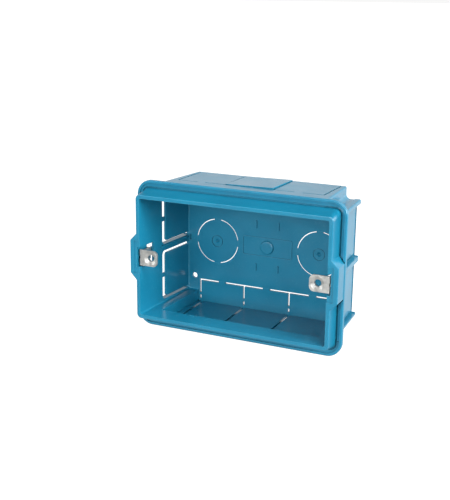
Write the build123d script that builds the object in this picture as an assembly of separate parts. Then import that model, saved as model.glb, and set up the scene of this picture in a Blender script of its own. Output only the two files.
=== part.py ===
"""Flush-mounting three-module wiring box: one plastic moulding, two steel lugs and its break-out knock-outs.

Axes: X to the right, Y into the wall, Z up.  Everything is drawn with Y = 0 on the front edge of the rim and
moved at export, so that the origin ends midway between the two lug screw holes, where their threads begin.
"""

from build123d import *
import os

os.makedirs("parts", exist_ok=True)

# ---- driving dimensions, mm ----
LUG_SPACING = 83.5          # between the two device screws
LUG_SETBACK = 1.5           # lug face behind the front edge of the rim
LUG_DROP = 0.35             # the lugs rest this far below the middle of their slots

MOUTH_HALF_W = 46.75        # inside of the rim
MOUTH_HALF_H = 28.5
RIM_WALL = 1.8              # at the front edge
RIM_FLARE_SIDE = 0.35       # wider by this much on each side where it meets the flange
RIM_FLARE_TOP = 1.9         # and higher by this much
RIM_CORNER = 2.3
RIM_EDGE = 0.45
SIDE_DRAFT = 0.067          # the side walls close in by this much per mm of depth
END_DRAFT = 0.024           # the short top and bottom walls beside the corner notches, likewise

FLANGE_W = 104.2
FLANGE_H = 71.8
FLANGE_CORNER = 7.2
FLANGE_FRONT = 7.95         # depth of the bead round the flange
FLANGE_FACE = 8.75          # depth of the flat of the flange
FLANGE_BACK = 9.8
BEAD_WIDTH = 1.25
GROOVE_WIDTH = 0.7          # narrow groove round the foot of the rim
GROOVE_DEPTH = 0.75

DEPTH = 45.6
WALL = 1.2
STEP_DEPTH = 10.0           # where the floor drops behind the mouth
BACK_FACE = DEPTH - WALL    # inside of the back panel
BODY_HALF_H = 34.5          # at the back
BODY_HALF_H_FRONT = 34.9
TALL_HALF_W = 39.1          # the full-height middle of the body, between the corner notches
TALL_HALF_W_FRONT = 41.7
TALL_EDGE = 0.9             # rounding of its long outer edges
NOTCH_FILLET = 2.2          # in the corner notches, where it meets the wide part
BACK_CORNER = 0.6           # inside radius of the upright back corners
BACK_CORNER_OUT = 2.3       # outside radius there

RIB_OUT = 1.7
RIB_END = 44.5
RIB_EDGE = 0.7
RIB_BANDS = ((26.9, 29.2, 8.9), (-1.0, 2.1, 13.0), (-27.9, -26.1, 8.9))   # low Z, high Z, front end

BUMP_OUT = 51.8             # outside of the lug housings
BUMP_HALF_FLAT = 8.05
BUMP_HALF_ROOT = 11.4
POCKET_OUT = 49.7           # shallow sunk face round the mouth of a lug slot
POCKET_SINK = 0.45

LUG_SLOT_HALF_H = 4.9
LUG_SLOT_OUT = 48.35
LUG_SLOT_END = 12.5
SHEET = 0.9
THREAD_START = LUG_SETBACK + SHEET
TAB_HALF_H = 3.85
TAB_END = 38.0
TAB_CORNER = 2.3
LEG_OUT = 47.75
LEG_HALF_H = 2.8
LEG_END = 11.0
HOOK_OUT = 49.4
SCREW_R = 1.65
DIMPLE_R = 3.2
COLLAR_R = 2.55
COLLAR_LENGTH = 1.4

ROUND_X = 27.2              # round knock-outs in the back panel
ROUND_R = 11.45
ROUND_SLOT = 0.4
ROUND_WEB = 3.5
ROUND_THIN = 0.4            # the panel is thinned to this along the slot, from outside
ROUND_THIN_REACH = 0.6      # and this far to both sides of it

EDGE_PITCH = 24.5           # L-shaped knock-outs along the back edges
EDGE_FRONT = 21.0
EDGE_REACH = 13.3           # how far they climb the back panel from the outside
EDGE_WEB = 3.8
SIDE_WEBS = ((28.55, 29.95), (31.8, 60.0))  # heights of the webs between neighbours
TOP_SLOTS = (0.7, 0.7, 0.0)     # width in the back panel and in the wall; wall slot at the left end moved in
BOTTOM_SLOTS = (0.85, 1.3, 1.2)
NEIGHBOUR_GAP = 0.03
PAD_RISE = (0.3, 0.75, 0.02, 0.45)  # middle one on top: front left, front right, back left, back right

SIDE_FRONT = 22.8           # knock-outs in the side walls
SIDE_BACK = 44.35
SIDE_SLOT = 2.9
SIDE_PLATE = 0.8            # thickness of the plates
SIDE_BANDS = {"upper": (1.7, 3.15, 25.4, 26.7), "lower": (-26.6, -25.35, -3.0, -1.7)}
SIDE_WEB = 2.3
SIDE_WEB_SINK = 0.4         # the webs lie this far below the inside of the wall
SIDE_BEAD = (0.0, 1.15)     # raised line between the two side knock-outs, inside: low and high Z
SIDE_BEAD_RISE = 0.5
SIDE_BEAD_FRONT = 19.0
CORNER_POCKET = ((41.9, 43.2), (-1.0, 2.0), 0.8)    # blind hole at the end of that line: X, Z, depth
PLATE_CORNER = 1.3
OPENING_CORNER = 2.0

BOSS_R = 3.5                # gate boss in the middle of the back panel
BOSS_RISE = 0.9
PIT_R = 1.2                 # conical start mark in each round knock-out
PIT_DEPTH = 0.9
CIRCLE_R = 3.15             # fine groove round it
CIRCLE_WIDTH = 0.45
CIRCLE_DEPTH = 0.35
EJECTOR_MARK = (50.1, -28.4, 0.4)     # on the flange: X, Z, radius
NAIL_HOLE_R = 1.4           # fixing holes in the back panel
NAIL_HOLE = (40.05, -19.75)
CURVED_GAP = 0.02           # kept between curved webs and the opening
FAR = 60.0                  # beyond the whole box
OVER = 5.0                  # how far a cutting shape passes a face


def box(x, y, z):
    """A box from three (low, high) pairs."""
    size = (x[1] - x[0], y[1] - y[0], z[1] - z[0])
    return Pos((x[0] + x[1]) / 2, (y[0] + y[1]) / 2, (z[0] + z[1]) / 2) * Box(*size)


def prism_x(points, low, high):
    """(Y, Z) outline pulled along X."""
    return extrude(Plane.YZ.offset(low) * make_face(Polyline(points, close=True)), amount=high - low)


def prism_y(points, low, high):
    """(X, Z) outline pulled along Y."""
    return extrude(Plane.XZ.offset(-low) * make_face(Polyline(points, close=True)), amount=low - high)


def prism_z(points, low, high):
    """(X, Y) outline pulled along Z."""
    return extrude(Plane.XY.offset(low) * make_face(Polyline(points, close=True)), amount=high - low)


def cylinder_y(x, z, radius, low, high):
    """A round bar along Y."""
    return extrude(Plane.XZ.offset(-low) * Pos(x, z) * Circle(radius), amount=low - high)


def cone_y(x, y, narrow, wide, depth):
    """A cone that is wide at a depth and narrows from there into the wall."""
    align = (Align.CENTER, Align.CENTER, Align.MAX)
    return Pos(x, y, 0) * Rot(90, 0, 0) * Cone(narrow, wide, depth, align=align)


def rounded_plate(width, height, corner, low, high):
    """A rounded rectangle, centred on the opening, pulled along Y."""
    return extrude(Plane.XZ.offset(-low) * RectangleRounded(width, height, corner), amount=low - high)


def drafted_block(half_w, half_h, depth, corner=0.0):
    """A block whose half width and half height go from a front to a back value over the depth."""
    y0, y1 = depth
    plan = [(-half_w[0], y0), (half_w[0], y0), (half_w[1], y1), (-half_w[1], y1)]
    side = [(y0, -half_h[0]), (y1, -half_h[1]), (y1, half_h[1]), (y0, half_h[0])]
    block = prism_z(plan, -FAR, FAR)
    if corner:
        block = fillet(block.edges().filter_by(Axis.Z).sort_by(Axis.Y)[2:], corner)
    return block & prism_x(side, -FAR, FAR)


def both_sides(shape):
    """A piece and its mirror image across the middle of the box."""
    return shape + mirror(shape, Plane.YZ)


def side_inside(depth):
    return MOUTH_HALF_W - SIDE_DRAFT * depth


def end_inside(depth):
    return MOUTH_HALF_H - END_DRAFT * depth


def lug_housings(spread, low, high):
    """The two housings beside the lugs, taller by the spread, between two depths."""
    half_w = MOUTH_HALF_W + RIM_WALL
    root = BUMP_HALF_ROOT + spread
    flat = BUMP_HALF_FLAT + spread
    outline = [(0, -root), (half_w, -root), (BUMP_OUT, -flat), (BUMP_OUT, flat), (half_w, root), (0, root)]
    return both_sides(prism_y(outline, low, high))


def rim():
    """The collar that stands in front of the flange, with the lug housings."""
    half_w = MOUTH_HALF_W + RIM_WALL
    half_h = MOUTH_HALF_H + RIM_WALL
    foot = (2 * (half_w + RIM_FLARE_SIDE), 2 * (half_h + RIM_FLARE_TOP))
    front_face = RectangleRounded(2 * half_w, 2 * half_h, RIM_CORNER)
    back_face = RectangleRounded(foot[0], foot[1], RIM_CORNER + RIM_FLARE_SIDE)
    collar = loft([Plane.XZ * front_face, Plane.XZ.offset(-FLANGE_BACK) * back_face])
    collar += lug_housings(0, 0, FLANGE_BACK)
    front = collar.edges().group_by(Axis.Y)[0]
    return fillet(front, RIM_EDGE)


def foot_groove():
    """The narrow groove in the flange round the foot of the rim, as a cutting shape for the flange."""
    half_w = MOUTH_HALF_W + RIM_WALL + RIM_FLARE_SIDE + GROOVE_WIDTH
    half_h = MOUTH_HALF_H + RIM_WALL + RIM_FLARE_TOP + GROOVE_WIDTH
    bottom = FLANGE_FACE + GROOVE_DEPTH
    corner = RIM_CORNER + RIM_FLARE_SIDE + GROOVE_WIDTH
    ring = rounded_plate(2 * half_w, 2 * half_h, corner, FLANGE_FRONT, bottom)
    return ring + lug_housings(GROOVE_WIDTH, FLANGE_FRONT, bottom)


def flange():
    """The plate round the box, with a bead along its edge and a groove round the rim."""
    plate = rounded_plate(FLANGE_W, FLANGE_H, FLANGE_CORNER, FLANGE_FRONT, FLANGE_BACK)
    plate = fillet(plate.edges().group_by(Axis.Y)[0], 0.45)
    inner_w = FLANGE_W - 2 * BEAD_WIDTH
    inner_h = FLANGE_H - 2 * BEAD_WIDTH
    sunk = rounded_plate(inner_w, inner_h, FLANGE_CORNER - BEAD_WIDTH, 0, FLANGE_FACE)
    x, z, radius = EJECTOR_MARK
    mark = cylinder_y(x, z, radius, FLANGE_FACE - 1, FLANGE_FACE + 0.4)
    return plate - sunk - foot_groove() - mark


def side_ribs():
    """Three outside ribs along each side wall."""
    ribs = []
    for low, high, start in RIB_BANDS:
        root = side_inside(start)
        tip_front = side_inside(start) + WALL + RIB_OUT
        tip_back = side_inside(RIB_END) + WALL + RIB_OUT
        back_root = side_inside(RIB_END)
        plan = [(root, start), (tip_front, start), (tip_back, RIB_END), (back_root, RIB_END)]
        rib = prism_z(plan, low, high)
        tip_edges = rib.edges().filter_by(lambda e: abs(e.tangent_at(0.5).Y) > 0.9).sort_by(Axis.X)[-2:]
        ribs.append(both_sides(fillet(tip_edges, RIB_EDGE)))
    return ribs


def hollow():
    """Everything inside the box: the wide part with the mouth, and the full-height middle."""
    wide_w = (side_inside(-OVER), side_inside(BACK_FACE))
    wide_h = (end_inside(-OVER), end_inside(BACK_FACE))
    wide = drafted_block(wide_w, wide_h, (-OVER, BACK_FACE), BACK_CORNER)
    long_edges = wide.edges().filter_by(lambda e: abs(e.tangent_at(0.5).Y) > 0.9 and e.length > 30)
    wide = fillet(long_edges, 0.9)
    tall_w = (TALL_HALF_W_FRONT - WALL, TALL_HALF_W - WALL)
    tall_h = (BODY_HALF_H_FRONT - WALL, BODY_HALF_H - WALL)
    tall = drafted_block(tall_w, tall_h, (STEP_DEPTH, BACK_FACE))
    return wide + tall


def in_a_notch(point):
    """Whether a point on a long edge is in a corner notch, where the tall middle meets the wide part."""
    return abs(abs(point.X) - TALL_HALF_W) < 2 and abs(abs(point.Z) - end_inside(0)) < 2


def body():
    """The part that is buried in the wall, as a solid block."""
    depth = (FLANGE_BACK - 0.5, DEPTH)
    wide_w = (side_inside(depth[0]) + WALL, side_inside(BACK_FACE) + WALL)
    wide_h = (end_inside(depth[0]) + WALL, end_inside(BACK_FACE) + WALL)
    wide = drafted_block(wide_w, wide_h, depth, BACK_CORNER_OUT)
    tall = drafted_block((TALL_HALF_W_FRONT, TALL_HALF_W), (BODY_HALF_H_FRONT, BODY_HALF_H), depth)
    long_edges = tall.edges().filter_by(lambda e: abs(e.tangent_at(0.5).Y) > 0.9)
    block = wide + fillet(long_edges, TALL_EDGE)
    notch_edges = block.edges().filter_by(lambda e: abs(e.tangent_at(0.5).Y) > 0.9 and in_a_notch(e.center()))
    return fillet(notch_edges, NOTCH_FILLET)


def back_panel_marks():
    """The gate boss, the blank marking field and four short ribs on the inside of the back panel."""
    boss = cylinder_y(0, 0, BOSS_R, BACK_FACE - BOSS_RISE, BACK_FACE + 0.2)
    boss = fillet(boss.edges().group_by(Axis.Y)[0], BOSS_RISE - 0.15)
    field = rounded_plate(26.4, 9.8, 0.8, BACK_FACE - 0.35, BACK_FACE + 0.2)
    field -= rounded_plate(25.6, 9.0, 0.5, BACK_FACE - OVER, BACK_FACE + OVER)
    marks = [boss, field]
    for x in (-5.9, 5.9):
        for z in (-10.7, 11.2):
            marks.append(box((x - 0.35, x + 0.35), (BACK_FACE - 0.7, BACK_FACE + 0.2), (z - 1.9, z + 1.9)))
    return marks


def lug_pocket():
    """The slot that a lug's leg lies in, and the shallow sunk face round its mouth."""
    inner = side_inside(LUG_SLOT_END) - 2
    slot = box((inner, LUG_SLOT_OUT), (-OVER, LUG_SLOT_END), (-LUG_SLOT_HALF_H, LUG_SLOT_HALF_H))
    sink = box((inner, POCKET_OUT), (-OVER, POCKET_SINK), (-BUMP_HALF_FLAT, BUMP_HALF_FLAT))
    return both_sides(slot + sink)


def front_rounded(y, z, corner, x):
    """A plate across X whose two front corners are rounded."""
    face = make_face(Polyline([(y[0], z[0]), (y[1], z[0]), (y[1], z[1]), (y[0], z[1])], close=True))
    face = fillet(face.vertices().sort_by(Axis.X)[:2], corner)
    return extrude(Plane.YZ.offset(x[0]) * face, amount=x[1] - x[0])


def side_opening(band):
    """The hole in the right-hand wall that a side knock-out leaves."""
    heights = (SIDE_BANDS[band][0], SIDE_BANDS[band][3])
    return front_rounded((SIDE_FRONT - SIDE_SLOT, SIDE_BACK), heights, OPENING_CORNER, (40, FAR))


def wall_layer(inner, outer):
    """The space between two distances outwards from the inside of the right-hand wall."""
    ends = (side_inside(0), side_inside(DEPTH))
    outline = [(ends[0] + inner, 0), (ends[0] + outer, 0), (ends[1] + outer, DEPTH), (ends[1] + inner, DEPTH)]
    return prism_z(outline, -FAR, FAR)


def side_beads():
    """The raised line between the side knock-outs, inside both side walls."""
    bead = box((40, FAR), (SIDE_BEAD_FRONT, BACK_FACE + 0.2), SIDE_BEAD) & wall_layer(-SIDE_BEAD_RISE, 0.3)
    top_edges = bead.edges().filter_by(lambda e: abs(e.tangent_at(0.5).Y) > 0.9).sort_by(Axis.X)[:2]
    return both_sides(fillet(top_edges, 0.3))


def corner_pockets():
    """The blind holes at the ends of the raised lines, as cutting shapes."""
    xs, zs, depth = CORNER_POCKET
    return both_sides(box(xs, (BACK_FACE - OVER, BACK_FACE + depth), zs))


def side_outline(band):
    """The plate and its web, as a cutting shape for the right-hand wall."""
    low, high = SIDE_BANDS[band][1:3]
    plate = front_rounded((SIDE_FRONT, SIDE_BACK), (low, high), PLATE_CORNER, (40, FAR))
    middle = (low + high) / 2
    heights = (middle - SIDE_WEB / 2, middle + SIDE_WEB / 2)
    web = box((40, FAR), (SIDE_FRONT - SIDE_SLOT, SIDE_FRONT + 1), heights)
    web -= wall_layer(-OVER, SIDE_WEB_SINK)
    return (plate + web) & wall_layer(-OVER, SIDE_PLATE)


def round_opening(x):
    return cylinder_y(x, 0, ROUND_R, BACK_FACE - OVER, DEPTH + OVER)


def round_outline(x):
    """The disc with four webs."""
    disc = cylinder_y(x, 0, ROUND_R - ROUND_SLOT, BACK_FACE - OVER, DEPTH + OVER)
    reach = ROUND_R + 1
    half = ROUND_WEB / 2
    cross = box((x - reach, x + reach), (BACK_FACE - 1, DEPTH + 1), (-half, half))
    cross += box((x - half, x + half), (BACK_FACE - 1, DEPTH + 1), (-reach, reach))
    webs = cross & cylinder_y(x, 0, ROUND_R - CURVED_GAP, BACK_FACE - 2, DEPTH + 2)
    return disc + webs


def round_relief(x):
    """The ring on the outside in which the panel is thinned, as a cutting shape."""
    ring = cylinder_y(x, 0, ROUND_R + ROUND_THIN_REACH, BACK_FACE + ROUND_THIN, DEPTH + OVER)
    core = cylinder_y(x, 0, ROUND_R - ROUND_SLOT - ROUND_THIN_REACH, BACK_FACE, DEPTH + OVER)
    return ring - core


def disc_marks(x):
    """The start mark in the middle of a round knock-out and the groove round it, as cutting shapes."""
    groove = cylinder_y(x, 0, CIRCLE_R, BACK_FACE - 1, BACK_FACE + CIRCLE_DEPTH)
    groove -= cylinder_y(x, 0, CIRCLE_R - CIRCLE_WIDTH, BACK_FACE - OVER, BACK_FACE + OVER)
    return groove + cone_y(x, BACK_FACE, 0.3, PIT_R, PIT_DEPTH)


def edge_opening(side, slots):
    """One opening for the row of three L-shaped knock-outs.  side is 1 on top and -1 below."""
    back_slot, wall_slot, inset = slots
    half_back = 1.5 * EDGE_PITCH + back_slot / 2
    half_wall = 1.5 * EDGE_PITCH + wall_slot / 2
    z = sorted((side * (BODY_HALF_H - EDGE_REACH), side * FAR))
    back = box((-half_back, half_back), (BACK_FACE, FAR), z)
    return back + box((inset - half_wall, half_wall), (EDGE_FRONT - wall_slot, BACK_FACE), z)


def edge_outline(column, side, slots):
    """One L-shaped plate with its webs.  column is -1, 0 or 1 from left to right."""
    back_slot, wall_slot, inset = slots
    x = column * EDGE_PITCH
    top = BODY_HALF_H - EDGE_REACH

    def block(xs, ys, zs):
        return box(sorted(xs), ys, sorted((side * zs[0], side * zs[1])))

    half_w = (EDGE_PITCH - back_slot) / 2
    plate = block((x - half_w, x + half_w), (BACK_FACE, FAR), (top + back_slot, FAR))
    half_web = EDGE_WEB / 2
    web = (x - half_web, x + half_web)
    plate += block(web, (BACK_FACE, FAR), (top, top + back_slot + 1))
    plate += block(web, (EDGE_FRONT - wall_slot, EDGE_FRONT + 1), (BODY_HALF_H - 4, FAR))
    for hand in (-1, 1):
        on_the_end = column == hand
        reach = (EDGE_PITCH - wall_slot) / 2 - (inset if column + hand == -2 else 0)
        plate += block((x, x + hand * reach), (EDGE_FRONT, BACK_FACE), (top + back_slot, FAR))
        reach = back_slot + half_w if on_the_end else back_slot / 2 + half_w - NEIGHBOUR_GAP
        for low, high in SIDE_WEBS:
            plate += block((x + hand * (half_w - 1), x + hand * reach), (BACK_FACE, FAR), (low, high))
    return plate


def top_pad():
    """The tapered thickening on the middle knock-out on top, highest at its front right corner."""
    half_w = (EDGE_PITCH - TOP_SLOTS[0]) / 2
    root = BODY_HALF_H + (BODY_HALF_H_FRONT - BODY_HALF_H) * (DEPTH - EDGE_FRONT) / (DEPTH - FLANGE_BACK)
    front_left, front_right, back_left, back_right = PAD_RISE
    ends = ((EDGE_FRONT, root, front_left, front_right), (DEPTH, BODY_HALF_H, back_left, back_right))
    sections = []
    for y, z, left, right in ends:
        corners = [(-half_w, z - 0.3), (half_w, z - 0.3), (half_w, z + right), (-half_w, z + left)]
        sections.append(Plane.XZ.offset(-y) * make_face(Polyline(corners, close=True)))
    return loft(sections)


def lug():
    """The right-hand lug: a tab with a pressed and threaded hole, a leg, and a hook behind the flange."""
    front = LUG_SETBACK
    back = front + SHEET
    tab = box((TAB_END, LEG_OUT), (front, back), (-TAB_HALF_H, TAB_HALF_H))
    tab = fillet(tab.edges().filter_by(Axis.Y).sort_by(Axis.X)[:2], TAB_CORNER)
    tab += cylinder_y(LUG_SPACING / 2, 0, COLLAR_R, front, back + COLLAR_LENGTH)
    leg = box((LEG_OUT - SHEET, LEG_OUT), (front, LEG_END), (-LEG_HALF_H, LEG_HALF_H))
    hook = box((LEG_OUT - SHEET, HOOK_OUT), (LEG_END - SHEET, LEG_END), (-LEG_HALF_H, LEG_HALF_H))
    strip = tab + leg + hook
    bend = strip.edges().filter_by(Axis.Z).filter_by(lambda e: e.center().Y < back).sort_by(Axis.X)[-1]
    strip = fillet(bend, 0.7)
    strip -= cone_y(LUG_SPACING / 2, front, SCREW_R, DIMPLE_R, SHEET)
    strip -= cylinder_y(LUG_SPACING / 2, 0, SCREW_R, 0, LEG_END)
    strip -= box((LEG_OUT - 0.6, FAR), (0, back + 0.6), (-0.8, 0.8))
    return strip


def save(shape, node):
    export_step(Pos(0, -THREAD_START, LUG_DROP) * shape, f"parts/{node}.step")


# ---- the moulding before anything is broken out of it ----
moulding = rim() + flange() + body() + side_ribs()
moulding -= hollow()
moulding += side_beads()
moulding -= lug_pocket()
nail_holes = both_sides(cylinder_y(NAIL_HOLE[0], NAIL_HOLE[1], NAIL_HOLE_R, BACK_FACE - 1, DEPTH + 1))
moulding -= nail_holes
moulding -= corner_pockets()
moulding -= both_sides(round_relief(ROUND_X))

# ---- knock-outs, each cut from the moulding ----
openings = []
for hand, name in ((-1, "left"), (1, "right")):
    openings.append(round_opening(hand * ROUND_X))
    disc = (moulding & round_outline(hand * ROUND_X)) - disc_marks(hand * ROUND_X)
    save(disc, f"back_knockout_{name}")

for band in SIDE_BANDS:
    plate = moulding & side_outline(band)
    openings.append(both_sides(side_opening(band)))
    save(plate, f"right_wall_knockout_{band}")
    save(mirror(plate, Plane.YZ), f"left_wall_knockout_{band}")

for side, row, slots in ((1, "top", TOP_SLOTS), (-1, "bottom", BOTTOM_SLOTS)):
    openings.append(edge_opening(side, slots))
    for column, name in ((-1, "left"), (0, "centre"), (1, "right")):
        plate = moulding & edge_outline(column, side, slots)
        if side == 1 and column == 0:
            plate += top_pad()
        save(plate, f"{row}_knockout_{name}")

# ---- the shell that is left, and the lugs ----
shell = moulding - openings + back_panel_marks()
save(shell, "box_shell")
right_lug = Pos(0, 0, -LUG_DROP) * lug()
save(right_lug, "right_lug")
save(mirror(right_lug, Plane.YZ), "left_lug")
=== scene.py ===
"""Studio view of the flush-mounting wiring box: materials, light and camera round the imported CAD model."""

import math

import bpy
from mathutils import Matrix, Vector


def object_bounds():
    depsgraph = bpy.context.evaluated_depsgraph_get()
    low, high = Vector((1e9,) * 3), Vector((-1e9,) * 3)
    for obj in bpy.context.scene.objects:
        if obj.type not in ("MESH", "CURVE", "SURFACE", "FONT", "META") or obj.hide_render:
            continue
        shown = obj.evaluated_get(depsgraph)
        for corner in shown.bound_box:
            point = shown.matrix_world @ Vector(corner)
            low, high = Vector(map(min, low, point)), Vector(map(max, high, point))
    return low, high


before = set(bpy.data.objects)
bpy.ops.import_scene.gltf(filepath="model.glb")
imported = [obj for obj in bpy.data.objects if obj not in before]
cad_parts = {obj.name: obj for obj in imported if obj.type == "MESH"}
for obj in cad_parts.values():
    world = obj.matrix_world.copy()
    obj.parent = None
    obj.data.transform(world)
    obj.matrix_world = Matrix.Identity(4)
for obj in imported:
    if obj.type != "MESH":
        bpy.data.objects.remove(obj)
cad_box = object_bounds()

# ---- camera: place, aim and lens, in metres, radians and millimetres of a 36 mm sensor ----
VIEW_TURN = math.radians(25.328)
VIEW_RISE = math.radians(15.526)
VIEW_ROLL = math.radians(0.631)
AIM = Vector((-0.011447, 0.0176, 0.003687))
DISTANCE = 0.434433
FOCAL = 65.847
SENSOR = 36.0

# ---- soft boxes: name, turn and rise in degrees, power in watts, side in metres ----
LIGHTS = (("key", 60, 60, 8.5, 0.5), ("side", 77, 17, 8.0, 0.3), ("front", 0, 8, 4.8, 0.5),
          ("behind", 140, 12, 2.0, 0.5))
LIGHT_DISTANCE = 1.0

# ---- sky: brightness by height, from straight below (0) to overhead (1) ----
SKY_FRONT = ((0.0, 0.75), (0.32, 0.75), (0.34, 0.1), (0.49, 0.1), (0.51, 2.4), (0.72, 2.4), (0.74, 0.0))
SKY_BACK = ((0.0, 0.75), (0.32, 0.75), (0.34, 1.0), (0.49, 1.0), (0.51, 0.85), (0.72, 0.85), (0.74, 0.0))
SKY_SEAM = 0.1              # half width of the passage from the front half to the back half

# ---- floor ----
FLOOR_SIZE = 60.0
CONTACT_SIDE = 0.014        # the painted contact shadow ends this far inside the CAD box at the left and right,
CONTACT_FRONT = 0.012       # at the front
CONTACT_BACK = 0.005        # and at the back
CONTACT_RISE = 0.0001       # above the floor

# ---- colours, linear ----
BLUE = (0.005, 0.188, 0.312, 1)
# pale flecks in the plastic, and the painted highlight along sharp edges
BLUE_FLECK_AND_HIGHLIGHT = (0.045, 0.26, 0.39, 1)
BLUE_DEEP = (0.003, 0.165, 0.28, 1)
# painted shade in grooves and inside corners
BLUE_PAINTED_SHADE = (0.0005, 0.075, 0.13, 1)
ZINC = (0.60, 0.60, 0.57, 1)
ZINC_DULL = (0.40, 0.41, 0.40, 1)
FLOOR_GREY = (0.2, 0.2, 0.2, 1)
FLOOR_GLOW = (1, 1, 1, 1)
# painted contact shadow under the box
CONTACT_SHADOW_COLOUR = (0.12, 0.11, 0.10, 1)

# ---- surfaces, in metres ----
EDGE_HIGHLIGHT_WIDTH = 0.0004          # width of the painted highlight line along sharp edges
PAINTED_SHADE_REACH = 0.0012      # grooves narrower than this get painted shade


def new_material(name):
    """A material with its node tree and its shader."""
    material = bpy.data.materials.new(name)
    material.use_nodes = True
    tree = material.node_tree
    shader = tree.nodes["Principled BSDF"]
    return material, tree, shader


def add(tree, kind, **values):
    """A node with its inputs or settings filled in by name; spaces are written as underscores."""
    node = tree.nodes.new(kind)
    for key, value in values.items():
        socket = key.replace("_", " ")
        if socket in node.inputs:
            node.inputs[socket].default_value = value
        else:
            setattr(node, key, value)
    return node


def noise(tree, place, scale, detail=2.0):
    """Cloudy values from 0 to 1; a larger scale makes smaller clouds."""
    node = add(tree, "ShaderNodeTexNoise", Scale=scale, Detail=detail, Roughness=0.5)
    tree.links.new(place, node.inputs["Vector"])
    return node.outputs["Fac"]


def spread(tree, value, low, high, out_low=0.0, out_high=1.0):
    """Stretch a value from one range to another and keep it inside."""
    node = add(tree, "ShaderNodeMapRange")
    for name, number in (("From Min", low), ("From Max", high), ("To Min", out_low), ("To Max", out_high)):
        node.inputs[name].default_value = number
    tree.links.new(value, node.inputs["Value"])
    return node.outputs["Result"]


def blend(tree, factor, first, second):
    """Mix two colours, each given as a socket or as a value, by a factor socket."""
    node = add(tree, "ShaderNodeMix", data_type="RGBA")
    tree.links.new(factor, node.inputs["Factor"])
    for slot, colour in (("A", first), ("B", second)):
        socket = [s for s in node.inputs if s.name == slot and s.type == "RGBA"][0]
        if isinstance(colour, tuple):
            socket.default_value = colour
        else:
            tree.links.new(colour, socket)
    return [s for s in node.outputs if s.type == "RGBA"][0]


def times(tree, value, factor):
    """A socket's value multiplied by a number."""
    node = add(tree, "ShaderNodeMath", operation="MULTIPLY")
    tree.links.new(value, node.inputs[0])
    node.inputs[1].default_value = factor
    return node.outputs[0]


def edge_highlight_mask(tree):
    """1 on sharp outer edges, falling to 0 beside them; it places the painted edge highlight."""
    bevel = add(tree, "ShaderNodeBevel", samples=6, Radius=EDGE_HIGHLIGHT_WIDTH)
    geometry = add(tree, "ShaderNodeNewGeometry")
    dot = add(tree, "ShaderNodeVectorMath", operation="DOT_PRODUCT")
    tree.links.new(bevel.outputs["Normal"], dot.inputs[0])
    tree.links.new(geometry.outputs["Normal"], dot.inputs[1])
    return spread(tree, dot.outputs["Value"], 0.98, 0.80)


def openness(tree):
    """1 in the open, falling to 0 in narrow grooves and inside corners, where painted shade goes."""
    shade = add(tree, "ShaderNodeAmbientOcclusion", samples=8, Distance=PAINTED_SHADE_REACH)
    return spread(tree, shade.outputs["AO"], 0.25, 0.75)


def bump(tree, height, strength, distance, below=None):
    """A bump from a height socket, on top of another bump's normal if there is one."""
    node = add(tree, "ShaderNodeBump", Strength=strength, Distance=distance)
    tree.links.new(height, node.inputs["Height"])
    if below is not None:
        tree.links.new(below, node.inputs["Normal"])
    return node.outputs["Normal"]


def moulded_plastic():
    """Satin blue plastic: cloudy colour with pale flecks, painted highlight on sharp edges, painted shade in
    crevices, fine grain and shallow waves.
    """
    material, tree, shader = new_material("moulded_plastic")
    link = tree.links.new
    place = add(tree, "ShaderNodeTexCoord").outputs["Object"]
    cloud = noise(tree, place, 45.0, 3.0)
    fleck = noise(tree, place, 900.0)
    colour = blend(tree, spread(tree, cloud, 0.35, 0.65), BLUE_DEEP, BLUE)
    colour = blend(tree, spread(tree, fleck, 0.6, 0.8, 0.0, 0.3), colour, BLUE_FLECK_AND_HIGHLIGHT)
    # painted highlight: sharp outer edges blend towards the pale blue
    colour = blend(tree, times(tree, edge_highlight_mask(tree), 0.7), colour, BLUE_FLECK_AND_HIGHLIGHT)
    # painted shade: narrow grooves and inside corners get a darker blue and lose their reflection
    open_to_light = openness(tree)
    link(blend(tree, open_to_light, BLUE_PAINTED_SHADE, colour), shader.inputs["Base Color"])
    link(times(tree, open_to_light, 0.5), shader.inputs["Specular IOR Level"])
    link(spread(tree, noise(tree, place, 120.0, 4.0), 0.3, 0.7, 0.17, 0.27), shader.inputs["Roughness"])
    shader.inputs["IOR"].default_value = 1.5
    shader.inputs["Coat Weight"].default_value = 0.35
    shader.inputs["Coat Roughness"].default_value = 0.55
    grain = bump(tree, noise(tree, place, 3800.0), 0.15, 0.00002)
    waves = bump(tree, noise(tree, place, 90.0), 0.3, 0.0001, grain)
    link(waves, shader.inputs["Normal"])
    return material


def plated_steel():
    """Zinc-plated steel: cloudy plating and a slightly uneven surface."""
    material, tree, shader = new_material("plated_steel")
    link = tree.links.new
    place = add(tree, "ShaderNodeTexCoord").outputs["Object"]
    cloud = noise(tree, place, 400.0, 4.0)
    link(blend(tree, spread(tree, cloud, 0.35, 0.7), ZINC, ZINC_DULL), shader.inputs["Base Color"])
    shader.inputs["Metallic"].default_value = 0.85
    link(spread(tree, noise(tree, place, 900.0, 3.0), 0.3, 0.7, 0.28, 0.48), shader.inputs["Roughness"])
    link(bump(tree, noise(tree, place, 1500.0, 3.0), 0.4, 0.00004), shader.inputs["Normal"])
    return material


def dress(node, material):
    """Give a CAD node its one material."""
    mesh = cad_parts[node].data
    mesh.materials.clear()
    mesh.materials.append(material)


def outward(turn, rise):
    """The direction away from the box at a turn to the right of straight ahead and a rise, in radians."""
    return Vector((math.sin(turn) * math.cos(rise), -math.cos(turn) * math.cos(rise), math.sin(rise)))


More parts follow.
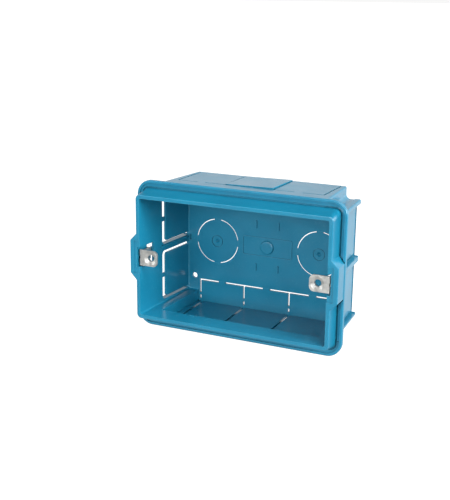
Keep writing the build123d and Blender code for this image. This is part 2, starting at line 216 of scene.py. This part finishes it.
def make_camera():
    """The view from the front, a little from the right and from above."""
    data = bpy.data.cameras.new("camera")
    data.lens = FOCAL
    data.sensor_width = SENSOR
    camera = bpy.data.objects.new("camera", data)
    bpy.context.scene.collection.objects.link(camera)
    back = outward(VIEW_TURN, VIEW_RISE)
    place = Matrix.Translation(AIM + back * DISTANCE)
    turn = (-back).to_track_quat("-Z", "Y").to_matrix().to_4x4()
    camera.matrix_world = place @ turn @ Matrix.Rotation(VIEW_ROLL, 4, "Z")
    bpy.context.scene.camera = camera


def make_floor():
    """A white floor without end, which the box stands on."""
    bpy.ops.mesh.primitive_plane_add(size=FLOOR_SIZE, location=(0, 0, cad_box[0][2]))
    floor = bpy.context.object
    floor.name = "floor"
    material, _, shader = new_material("floor")
    shader.inputs["Base Color"].default_value = FLOOR_GREY
    shader.inputs["Roughness"].default_value = 0.9
    shader.inputs["Emission Color"].default_value = FLOOR_GLOW
    shader.inputs["Emission Strength"].default_value = 1.0
    floor.data.materials.append(material)
    floor.visible_diffuse = False
    floor.visible_glossy = False


def make_contact_shadow():
    """The dark strip of floor under the box: a card of painted contact shadow, where hardly any light gets
    in.
    """
    low, high = cad_box
    width = high[0] - low[0] - 2 * CONTACT_SIDE
    front, back = low[1] + CONTACT_FRONT, high[1] - CONTACT_BACK
    bpy.ops.mesh.primitive_plane_add(size=1, location=(0, (front + back) / 2, low[2] + CONTACT_RISE))
    card = bpy.context.object
    card.name = "contact"
    card.scale = (width, back - front, 1)
    material, _, shader = new_material("contact")
    # the card's dark colour is a painted contact shadow
    shader.inputs["Base Color"].default_value = CONTACT_SHADOW_COLOUR
    shader.inputs["Roughness"].default_value = 1.0
    card.data.materials.append(material)


def make_light(name, turn, rise, power, size):
    """A square soft box that looks at the middle of the box from a turn and rise in degrees."""
    data = bpy.data.lights.new(name, "AREA")
    data.shape = "SQUARE"
    data.size = size
    data.energy = power
    light = bpy.data.objects.new(name, data)
    away = outward(math.radians(turn), math.radians(rise))
    light.location = away * LIGHT_DISTANCE
    light.rotation_euler = (-away).to_track_quat("-Z", "Y").to_euler()
    bpy.context.scene.collection.objects.link(light)


def sky_half(tree, height, levels):
    """Grey by height, for one half of the sky."""
    ramp = add(tree, "ShaderNodeValToRGB")
    tree.links.new(height, ramp.inputs["Fac"])
    stops = ramp.color_ramp.elements
    for stop, (position, level) in zip((stops[0], stops[1]), (levels[0], levels[-1])):
        stop.position = position
        stop.color = (level, level, level, 1)
    for position, level in levels[1:-1]:
        stops.new(position).color = (level, level, level, 1)
    return ramp.outputs["Color"]


def make_sky():
    """Even light from below, a bright band above the horizon in front, darkness overhead."""
    world = bpy.data.worlds.new("world")
    bpy.context.scene.world = world
    world.use_nodes = True
    tree = world.node_tree
    split = add(tree, "ShaderNodeSeparateXYZ")
    tree.links.new(add(tree, "ShaderNodeTexCoord").outputs["Generated"], split.inputs[0])
    height = spread(tree, split.outputs["Z"], -1.0, 1.0)
    front, back = [sky_half(tree, height, levels) for levels in (SKY_FRONT, SKY_BACK)]
    side = spread(tree, split.outputs["Y"], -SKY_SEAM, SKY_SEAM)
    background = tree.nodes["Background"]
    tree.links.new(blend(tree, side, front, back), background.inputs["Color"])
    background.inputs["Strength"].default_value = 1.0


make_camera()
make_floor()
make_contact_shadow()
make_sky()
for light in LIGHTS:
    make_light(*light)
bpy.context.scene.view_settings.view_transform = "Standard"

plastic = moulded_plastic()
steel = plated_steel()
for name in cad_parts:
    dress(name, steel if name.endswith("_lug") else plastic)
